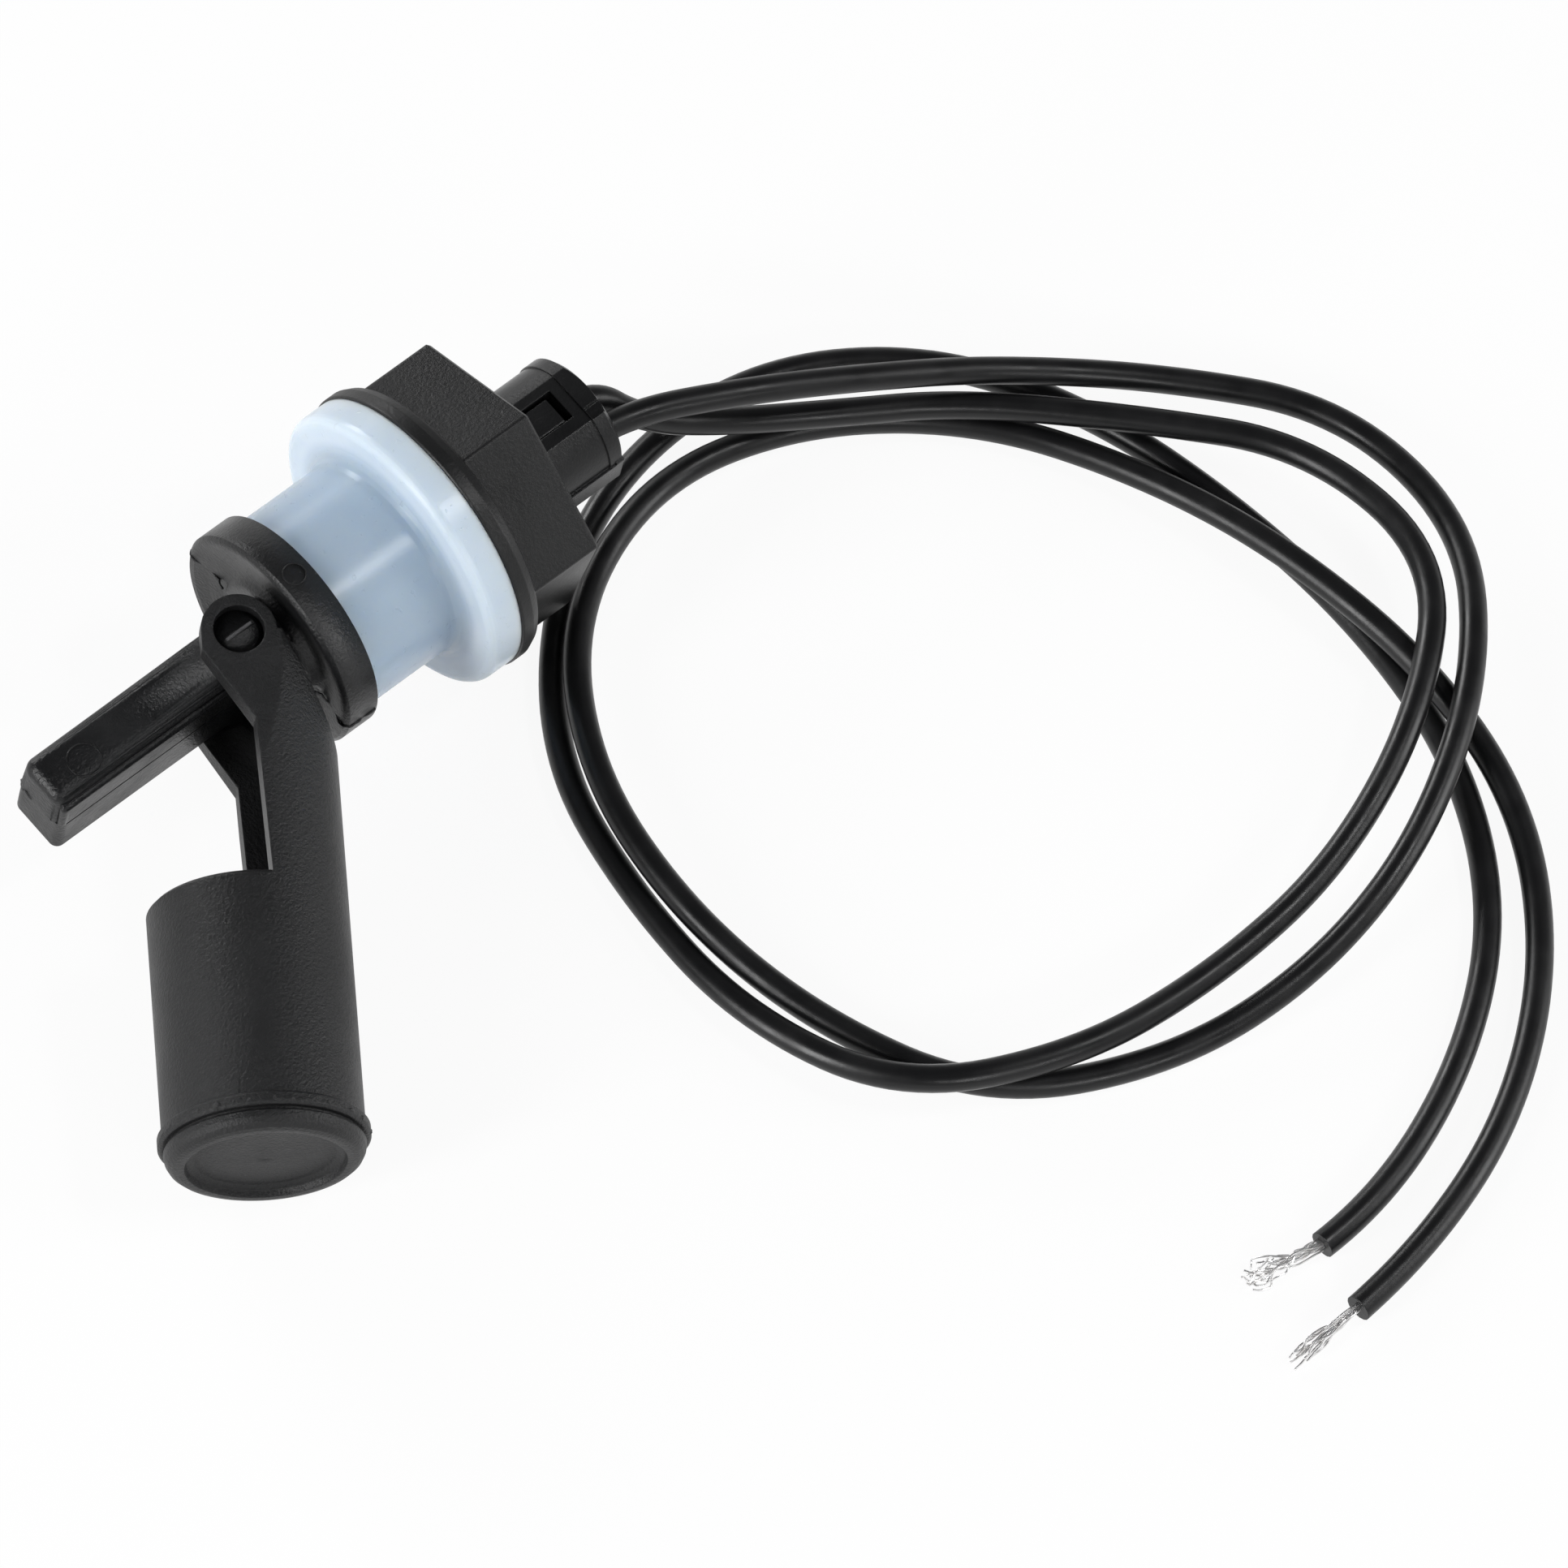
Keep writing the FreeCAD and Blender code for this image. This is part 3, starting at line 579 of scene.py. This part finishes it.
def newTree(name, inputs):
    tree = bpy.data.node_groups.new(name, "GeometryNodeTree")
    face = tree.interface
    face.new_socket("Geometry", in_out="INPUT", socket_type="NodeSocketGeometry")
    for label, kind in inputs:
        face.new_socket(label, in_out="INPUT", socket_type=kind)
    face.new_socket("Geometry", in_out="OUTPUT", socket_type="NodeSocketGeometry")
    return tree, tree.nodes.new("NodeGroupInput"), tree.nodes.new("NodeGroupOutput")


flashShape = {"noiseScale": 1300, "noiseDetail": 2.0, "thinnest": 0.15, "sides": 6}
strandShape = {
    "pointsEach": 26, "shortest": 0.80, "spreadPower": 0.9, "noiseScale": 420, "noiseStep": 3.7,
    "flatten": (0.6, 1.0, 0.75), "startSeed": 11, "splaySeed": 23, "sides": 6,
}


# a thin uneven bead of plastic along a line, as left where two pieces meet
def flashTree(look):
    tree, given, result = newTree("flashLine", [
        ("Radius", "NodeSocketFloat"), ("Step", "NodeSocketFloat"), ("Wander", "NodeSocketFloat"),
        ("Unevenness", "NodeSocketFloat"), ("Seed", "NodeSocketFloat"), ("Finish", "NodeSocketMaterial"),
    ])
    line = tree.nodes.new("GeometryNodeMeshToCurve")
    resample = tree.nodes.new("GeometryNodeResampleCurve")
    resample.mode = "LENGTH"
    noise = tree.nodes.new("ShaderNodeTexNoise")
    noise.noise_dimensions = "4D"
    noise.inputs["Scale"].default_value = look["noiseScale"]
    noise.inputs["Detail"].default_value = look["noiseDetail"]
    place = tree.nodes.new("GeometryNodeInputPosition")
    tree.links.new(place.outputs["Position"], noise.inputs["Vector"])
    tree.links.new(given.outputs["Seed"], noise.inputs["W"])
    centred = addVector(tree, "SUBTRACT", noise.outputs["Color"], (0.5, 0.5, 0.5))
    wander = addVector(tree, "SCALE", centred, given.outputs["Wander"])
    move = tree.nodes.new("GeometryNodeSetPosition")
    tree.links.new(given.outputs["Geometry"], line.inputs["Mesh"])
    tree.links.new(line.outputs["Curve"], resample.inputs["Curve"])
    tree.links.new(given.outputs["Step"], resample.inputs["Length"])
    tree.links.new(resample.outputs["Curve"], move.inputs["Geometry"])
    tree.links.new(wander, move.inputs["Offset"])
    swell = addMath(tree, "MULTIPLY", addMath(tree, "SUBTRACT", noise.outputs["Fac"], 0.5),
                    given.outputs["Unevenness"])
    factor = addMath(tree, "MAXIMUM", addMath(tree, "ADD", swell, 1.0), look["thinnest"])
    width = tree.nodes.new("GeometryNodeSetCurveRadius")
    tree.links.new(move.outputs["Geometry"], width.inputs["Curve"])
    tree.links.new(addMath(tree, "MULTIPLY", factor, given.outputs["Radius"]), width.inputs["Radius"])
    sweep(tree, width.outputs["Curve"], given.outputs["Finish"], result, look["sides"])
    return tree


# gives the line its round section and finish, and hands it out as one solid mesh
def sweep(tree, curve, finish, result, sides):
    ring = tree.nodes.new("GeometryNodeCurvePrimitiveCircle")
    ring.inputs["Resolution"].default_value = sides
    ring.inputs["Radius"].default_value = 1.0
    solid = tree.nodes.new("GeometryNodeCurveToMesh")
    solid.inputs["Fill Caps"].default_value = True
    real = tree.nodes.new("GeometryNodeRealizeInstances")
    paint = tree.nodes.new("GeometryNodeSetMaterial")
    tree.links.new(curve, solid.inputs["Curve"])
    if "Scale" in solid.inputs:
        radius = tree.nodes.new("GeometryNodeInputRadius")
        tree.links.new(radius.outputs["Radius"], solid.inputs["Scale"])
    tree.links.new(ring.outputs["Curve"], solid.inputs["Profile Curve"])
    tree.links.new(solid.outputs["Mesh"], real.inputs["Geometry"])
    tree.links.new(real.outputs["Geometry"], paint.inputs["Geometry"])
    tree.links.new(finish, paint.inputs["Material"])
    tree.links.new(paint.outputs["Geometry"], result.inputs["Geometry"])


# bare strands from one line: each keeps its place in the bundle, then wanders off as it goes
def strandTree(look):
    tree, given, result = newTree("strandBundle", [
        ("Strands", "NodeSocketInt"), ("Strand Radius", "NodeSocketFloat"),
        ("Bundle Radius", "NodeSocketFloat"), ("Splay", "NodeSocketFloat"),
        ("Curl", "NodeSocketFloat"), ("Floor", "NodeSocketFloat"),
        ("Seed", "NodeSocketInt"), ("Finish", "NodeSocketMaterial"),
    ])
    line = tree.nodes.new("GeometryNodeMeshToCurve")
    copies = tree.nodes.new("GeometryNodeDuplicateElements")
    copies.domain = "SPLINE"
    trim = tree.nodes.new("GeometryNodeTrimCurve")
    resample = tree.nodes.new("GeometryNodeResampleCurve")
    resample.inputs["Count"].default_value = look["pointsEach"]
    tree.links.new(given.outputs["Geometry"], line.inputs["Mesh"])
    tree.links.new(line.outputs["Curve"], copies.inputs["Geometry"])
    tree.links.new(given.outputs["Strands"], copies.inputs["Amount"])
    tree.links.new(copies.outputs["Geometry"], trim.inputs["Curve"])
    which = copies.outputs["Duplicate Index"]

    def randomVector(offset):
        node = tree.nodes.new("FunctionNodeRandomValue")
        node.data_type = "FLOAT_VECTOR"
        node.inputs["Min"].default_value = (-1, -1, -1)
        tree.links.new(which, node.inputs["ID"])
        tree.links.new(addMath(tree, "ADD", given.outputs["Seed"], offset), node.inputs["Seed"])
        return node.outputs["Value"]

    length = tree.nodes.new("FunctionNodeRandomValue")
    length.data_type = "FLOAT"
    length.inputs[2].default_value = look["shortest"]
    length.inputs[3].default_value = 1.0
    tree.links.new(which, length.inputs["ID"])
    tree.links.new(given.outputs["Seed"], length.inputs["Seed"])
    tree.links.new(length.outputs[1], trim.inputs["End"])
    tree.links.new(trim.outputs["Curve"], resample.inputs["Curve"])
    along = tree.nodes.new("GeometryNodeSplineParameter")
    gone = addMath(tree, "POWER", along.outputs["Factor"], look["spreadPower"])
    start = addVector(tree, "SCALE", randomVector(look["startSeed"]), given.outputs["Bundle Radius"])
    splay = addVector(tree, "SCALE", randomVector(look["splaySeed"]), given.outputs["Splay"])
    splay = addVector(tree, "SCALE", splay, gone)
    place = tree.nodes.new("GeometryNodeInputPosition")
    noise = tree.nodes.new("ShaderNodeTexNoise")
    noise.noise_dimensions = "4D"
    noise.inputs["Scale"].default_value = look["noiseScale"]
    noise.inputs["Detail"].default_value = 1.0
    tree.links.new(place.outputs["Position"], noise.inputs["Vector"])
    tree.links.new(addMath(tree, "MULTIPLY", which, look["noiseStep"]), noise.inputs["W"])
    curl = addVector(tree, "SUBTRACT", noise.outputs["Color"], (0.5, 0.5, 0.5))
    curl = addVector(tree, "SCALE", curl, given.outputs["Curl"])
    curl = addVector(tree, "SCALE", curl, gone)
    offset = addVector(tree, "ADD", addVector(tree, "ADD", start, splay), curl)
    offset = addVector(tree, "MULTIPLY", offset, look["flatten"])
    move = tree.nodes.new("GeometryNodeSetPosition")
    tree.links.new(resample.outputs["Curve"], move.inputs["Geometry"])
    tree.links.new(offset, move.inputs["Offset"])
    split = tree.nodes.new("ShaderNodeSeparateXYZ")
    join = tree.nodes.new("ShaderNodeCombineXYZ")
    rest = tree.nodes.new("GeometryNodeSetPosition")
    moved = tree.nodes.new("GeometryNodeInputPosition")
    tree.links.new(moved.outputs["Position"], split.inputs["Vector"])
    tree.links.new(split.outputs["X"], join.inputs["X"])
    tree.links.new(split.outputs["Y"], join.inputs["Y"])
    tree.links.new(addMath(tree, "MAXIMUM", split.outputs["Z"], given.outputs["Floor"]), join.inputs["Z"])
    tree.links.new(move.outputs["Geometry"], rest.inputs["Geometry"])
    tree.links.new(join.outputs["Vector"], rest.inputs["Position"])
    width = tree.nodes.new("GeometryNodeSetCurveRadius")
    tree.links.new(rest.outputs["Geometry"], width.inputs["Curve"])
    tree.links.new(given.outputs["Strand Radius"], width.inputs["Radius"])
    sweep(tree, width.outputs["Curve"], given.outputs["Finish"], result, look["sides"])
    return tree


# runs a node tree over a line of points and keeps what it makes as a plain mesh
def grow(name, points, closed, tree, settings, body):
    line = bpy.data.meshes.new(name + "Line")
    edges = [(i, i + 1) for i in range(len(points) - 1)] + ([(len(points) - 1, 0)] if closed else [])
    line.from_pydata([tuple(p) for p in points], edges, [])
    holder = bpy.data.objects.new(name + "Line", line)
    bpy.context.scene.collection.objects.link(holder)
    modifier = holder.modifiers.new(name, "NODES")
    modifier.node_group = tree
    sockets = {item.name: item.identifier for item in tree.interface.items_tree if item.in_out == "INPUT"}
    for label, value in settings.items():
        modifier[sockets[label]] = value
    bpy.context.view_layer.update()
    evaluated = holder.evaluated_get(bpy.context.evaluated_depsgraph_get())
    mesh = bpy.data.meshes.new_from_object(evaluated)
    mesh.name = name
    for polygon in mesh.polygons:
        polygon.use_smooth = True
    mesh.set_sharp_from_angle(angle=math.radians(50))
    piece = bpy.data.objects.new(name, mesh)
    bpy.context.scene.collection.objects.link(piece)
    bpy.data.objects.remove(holder)
    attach(piece, body)
    return piece


flash = flashTree(flashShape)
strands = strandTree(strandShape)

strandRadius = 0.11
strandFloor = -0.01485
strandLooks = {
    "strandsLeft": {
        "node": "wire_end_left", "strands": 12, "bundleRadius": 0.34, "splay": 0.80, "curl": 2.2, "seed": 6,
        "points": [
            (21.5, -112.45, -13.5), (18.6, -112.45, -13.6),
            (15.6, -112.5, -13.9), (12.2, -112.7, -14.3),
        ],
    },
    "strandsRight": {
        "node": "wire_end_right", "strands": 13, "bundleRadius": 0.34, "splay": 1.05, "curl": 6.0, "seed": 9,
        "points": [
            (23.5, -105.5, -13.5), (20.6, -105.2, -13.4),
            (17.8, -104.5, -13.6), (14.5, -103.5, -14.2),
        ],
    },
}


# points of an even curve through a few marks
def smoothLine(points, count=25):
    out = []
    for i in range(count):
        t = i / (count - 1) * (len(points) - 1)
        k = min(int(t), len(points) - 2)
        f = t - k
        a, b = Vector(points[max(k - 1, 0)]), Vector(points[k])
        c, d = Vector(points[k + 1]), Vector(points[min(k + 2, len(points) - 1)])
        out.append(0.5 * (2 * b + (c - a) * f + (2 * a - 5 * b + 4 * c - d) * f * f
                          + (3 * b - 3 * c + d - a) * f ** 3) * mm)
    return out


for name, look in strandLooks.items():
    settings = {
        "Strands": look["strands"], "Strand Radius": strandRadius * mm,
        "Bundle Radius": look["bundleRadius"] * mm, "Splay": look["splay"] * mm, "Curl": look["curl"] * mm,
        "Floor": strandFloor, "Seed": look["seed"], "Finish": finishes["tinnedStrand"],
    }
    grow(name, smoothLine(look["points"]), False, strands, settings, "plug")
    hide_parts(look["node"])
print("strands spread")

for name, look in wires.items():
    buildWire(name, look)
print("wires laid")


disc = {"radius": 11.4, "markX": -12.95, "markAngle": 96.24, "markRadius": 1.1}
stemMark = {"x": -38.0, "y": -0.4, "z": 4.75, "radius": 1.65}
weld = {"along": 47.66, "radius": 9.55, "from": -70, "step": 2.5, "points": 101}
pinRidgeZ = 7.92


def ringPoints(place, count=48):
    return [place(2 * math.pi * i / count) for i in range(count)]


def onStemMark(t):
    r = stemMark["radius"]
    return toObject(stemMark["x"] + r * math.cos(t), stemMark["y"] + r * math.sin(t), stemMark["z"])


# round witness mark bent over the clamp disc's rim
def onDiscMark(t):
    r = disc["markRadius"]
    a = math.radians(disc["markAngle"]) + r * math.sin(t) / disc["radius"]
    x = disc["markX"] + r * math.cos(t)
    return Vector((x, disc["radius"] * math.cos(a), disc["radius"] * math.sin(a))) * mm


# the parting line over the clamp disc: across its front face, then along the rim
def discSeam(side):
    marks = [(-14.8, 6.6), (-14.45, 7.4), (-14.35, 8.6), (-14.55, 9.6), (-14.95, 10.5), (-14.9, 11.1),
             (-14.5, 11.38), (-13.6, 11.42), (-12.6, 11.40), (-11.4, 11.42)]
    return [toObject(x, side * y, 0.0) for x, y in marks]


def weldLine():
    turns = [math.radians(weld["from"] + weld["step"] * i) for i in range(weld["points"])]
    return [onFloat(weld["along"], weld["radius"] * math.cos(t), weld["radius"] * math.sin(t)) for t in turns]


tipMarks = [(-42.1, 2.8, 0.3), (-42.5, 2.3, -0.1), (-42.6, 1.8, 0.3), (-42.55, 1.2, 0.0), (-42.4, 0.7, 0.15)]
beadStep = 0.18
beadSeed = 3.0
beads = {
    "stemMark": {
        "points": ringPoints(onStemMark), "closed": True, "radius": 0.075, "wander": 0.03, "unevenness": 0.5,
        "finish": "housingPlastic", "body": "housing",
    },
    "discMark": {
        "points": ringPoints(onDiscMark), "closed": True, "radius": 0.07, "wander": 0.03, "unevenness": 0.6,
        "finish": "housingPlastic", "body": "housing",
    },
    "discSeamNear": {
        "points": discSeam(-1), "closed": False, "radius": 0.13, "wander": 0.45, "unevenness": 1.6,
        "finish": "housingPlastic", "body": "housing",
    },
    "discSeamFar": {
        "points": discSeam(1), "closed": False, "radius": 0.12, "wander": 0.40, "unevenness": 1.6,
        "finish": "housingPlastic", "body": "housing",
    },
    "tipFlash": {
        "points": [toObject(*mark) for mark in tipMarks], "closed": False, "radius": 0.24, "wander": 0.6,
        "unevenness": 2.6, "finish": "housingPlastic", "body": "housing",
    },
    # painted highlight: a pale bead laid along the ridge on the pin's nose, standing in for the light that
    # ridge catches
    "pinRidge": {
        "points": [toObject(pivotX + x, 0.0, pinRidgeZ) for x in (-1.5, -0.5, 0.5, 1.5)], "closed": False,
        "radius": 0.17, "wander": 0.12, "unevenness": 0.8, "finish": "paintedHighlightPlastic", "body": "housing",
    },
    "weldFlash": {
        "points": weldLine(), "closed": False, "radius": 0.25, "wander": 0.45, "unevenness": 4.6,
        "finish": "floatPlastic", "body": "float",
    },
}

for name, look in beads.items():
    grow(name, look["points"], look["closed"], flash, {
        "Radius": look["radius"] * mm, "Step": beadStep * mm, "Wander": look["wander"] * mm,
        "Unevenness": look["unevenness"], "Seed": beadSeed, "Finish": finishes[look["finish"]],
    }, look["body"])
print("seams and marks drawn")

bpy.context.scene.view_settings.view_transform = "Standard"
